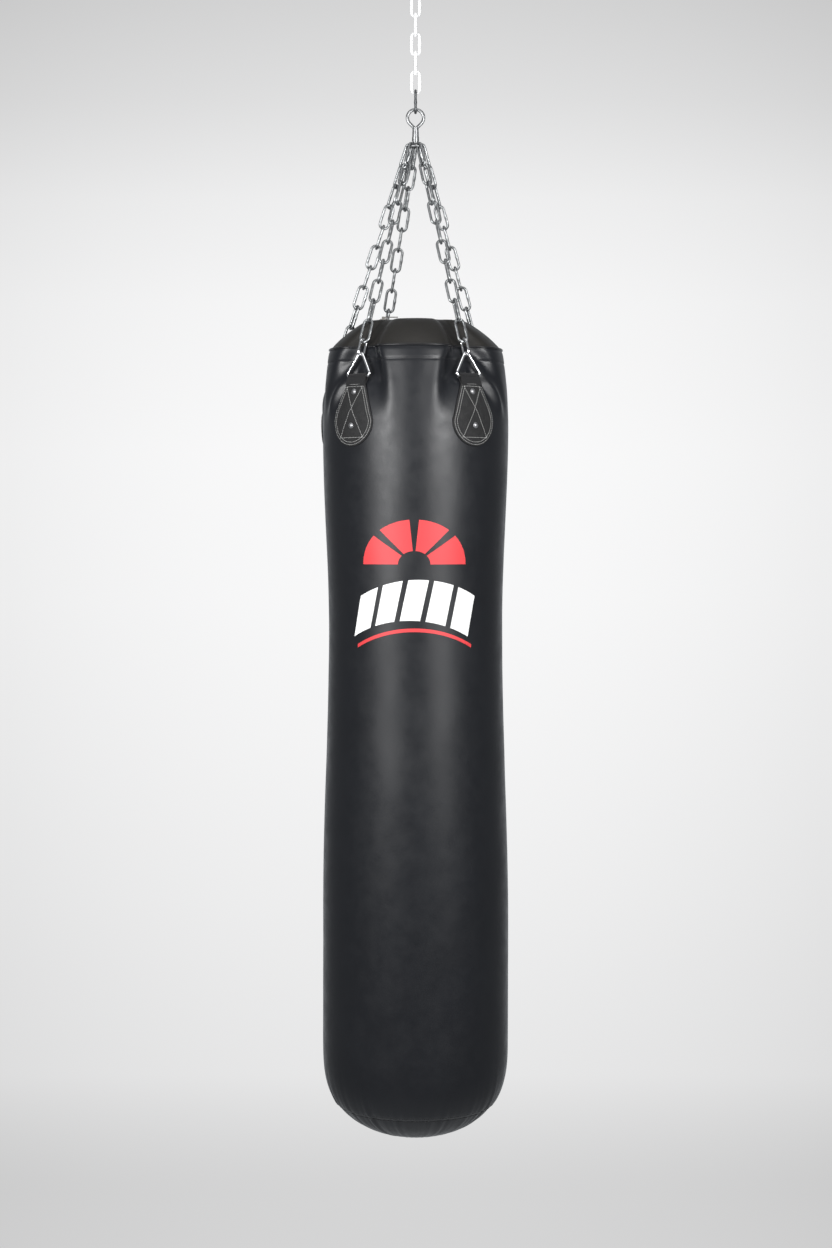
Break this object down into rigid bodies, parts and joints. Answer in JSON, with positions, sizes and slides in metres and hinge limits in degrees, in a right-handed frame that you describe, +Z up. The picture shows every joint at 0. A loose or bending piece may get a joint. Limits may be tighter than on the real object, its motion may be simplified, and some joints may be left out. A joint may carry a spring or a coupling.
{
  "type": "hanging punching bag",
  "caption": "Heavy punching bag hung by chain legs, strap rings and a swivel from a link chain, with a snap hook and a square ceiling plate.",
  "frame": {"origin": "centre of the ceiling plate's upper face, where it meets the ceiling", "axes": "+Z up to the ceiling; the bag hangs down -Z; -Y is the front, with the print; +X is to the right of a viewer in front"},
  "size_m": [0.3521, 0.35, 2.27],
  "materials": {
    "plate_steel": "zinc plated, satin",
    "hook_steel": "zinc plated, satin",
    "chain_steel": "galvanised, satin",
    "swivel_steel": "forged and galvanised",
    "washer_brass": "turned",
    "ring_chrome": "bright plated",
    "webbing": "matte woven",
    "patch_leather": "matte, coarse grain",
    "bag_vinyl": "coated cloth, soft gloss",
    "lid_vinyl": "coated cloth, dull",
    "welt_vinyl": "coated cloth, soft gloss",
    "liner_foam": "open foam",
    "rag_filling": "packed cloth",
    "zip_tape": "woven",
    "zip_metal": "dark nickel"
  },
  "bodies": {
    "ceiling_fitting": {"ceiling_plate": "plate_steel", "ceiling_bow": "plate_steel"},
    "hook": {"snap_hook": "hook_steel", "gate_pin": "hook_steel"},
    "gate": {"hook_gate": "hook_steel"},
    "upper_chain": {"top_link_1": "chain_steel", "top_link_2": "chain_steel", "top_link_3": "chain_steel", "top_link_4": "chain_steel", "top_link_5": "chain_steel", "top_link_6": "chain_steel"},
    "last_link": {"top_link_7": "chain_steel"},
    "eye": {"swivel_eye": "swivel_steel", "swivel_nut": "swivel_steel"},
    "slider": {"zip_slider": "zip_metal", "zip_pull": "zip_metal"},
    "bag": {"thrust_washer": "washer_brass", "swivel_barrel": "swivel_steel", "crown_ring": "swivel_steel", "leg_chain_front_left": "chain_steel", "leg_chain_front_right": "chain_steel", "leg_chain_back_right": "chain_steel", "leg_chain_back_left_inner": "chain_steel", "leg_chain_back_left_outer": "chain_steel", "connector_link_front_left": "ring_chrome", "connector_link_front_right": "ring_chrome", "connector_link_back_right": "ring_chrome", "connector_link_back_left_inner": "ring_chrome", "connector_link_back_left_outer": "ring_chrome", "triangle_ring_front_left": "ring_chrome", "triangle_ring_front_right": "ring_chrome", "triangle_ring_back_right": "ring_chrome", "triangle_ring_back_left_inner": "ring_chrome", "triangle_ring_back_left_outer": "ring_chrome", "strap_webbing_front_left": "webbing", "strap_webbing_front_right": "webbing", "strap_webbing_back_right": "webbing", "strap_webbing_back_left_inner": "webbing", "strap_webbing_back_left_outer": "webbing", "strap_patch_front_left": "patch_leather", "strap_patch_front_right": "patch_leather", "strap_patch_back_right": "patch_leather", "strap_patch_back_left_inner": "patch_leather", "strap_patch_back_left_outer": "patch_leather", "strap_rivets": "ring_chrome", "bag_shell": "bag_vinyl", "top_lid": "lid_vinyl", "bottom_panel": "bag_vinyl", "top_welt": "welt_vinyl", "bottom_welt": "welt_vinyl", "foam_sleeve": "liner_foam", "filling": "rag_filling", "zip_tape": "zip_tape", "zip_teeth": "zip_metal"}
  },
  "joints": [
    {"name": "hook_swing", "type": "hinge", "parent": "ceiling_fitting", "child": "hook", "pos_m": [0, 0, -0.0375], "axis": [0, 1, 0], "range_deg": [-15, 15]},
    {"name": "gate_open", "type": "hinge", "parent": "hook", "child": "gate", "pos_m": [0.015, 0, -0.0823], "axis": [0, -1, 0], "range_deg": [0, 25], "stiffness_Nm_per_rad": 0.4, "springref_deg": -11.46},
    {"name": "chain_swing", "type": "hinge", "parent": "hook", "child": "upper_chain", "pos_m": [0, 0, -0.1013], "axis": [1, 0, 0], "range_deg": [-15, 15]},
    {"name": "last_link_swing", "type": "hinge", "parent": "upper_chain", "child": "last_link", "pos_m": [0, 0, -0.3128], "axis": [1, 0, 0], "range_deg": [-12, 12]},
    {"name": "eye_swing", "type": "hinge", "parent": "last_link", "child": "eye", "pos_m": [0, 0, -0.3483], "axis": [0, 1, 0], "range_deg": [-12, 12]},
    {"name": "swivel_spin", "type": "hinge", "parent": "eye", "child": "bag", "pos_m": [0, 0, -0.45], "axis": [0, 0, 1], "continuous": true},
    {"name": "zip_travel", "type": "slide", "parent": "bag", "child": "slider", "axis": [1, 0, 0], "range_m": [0, 0.116]}
  ]
}
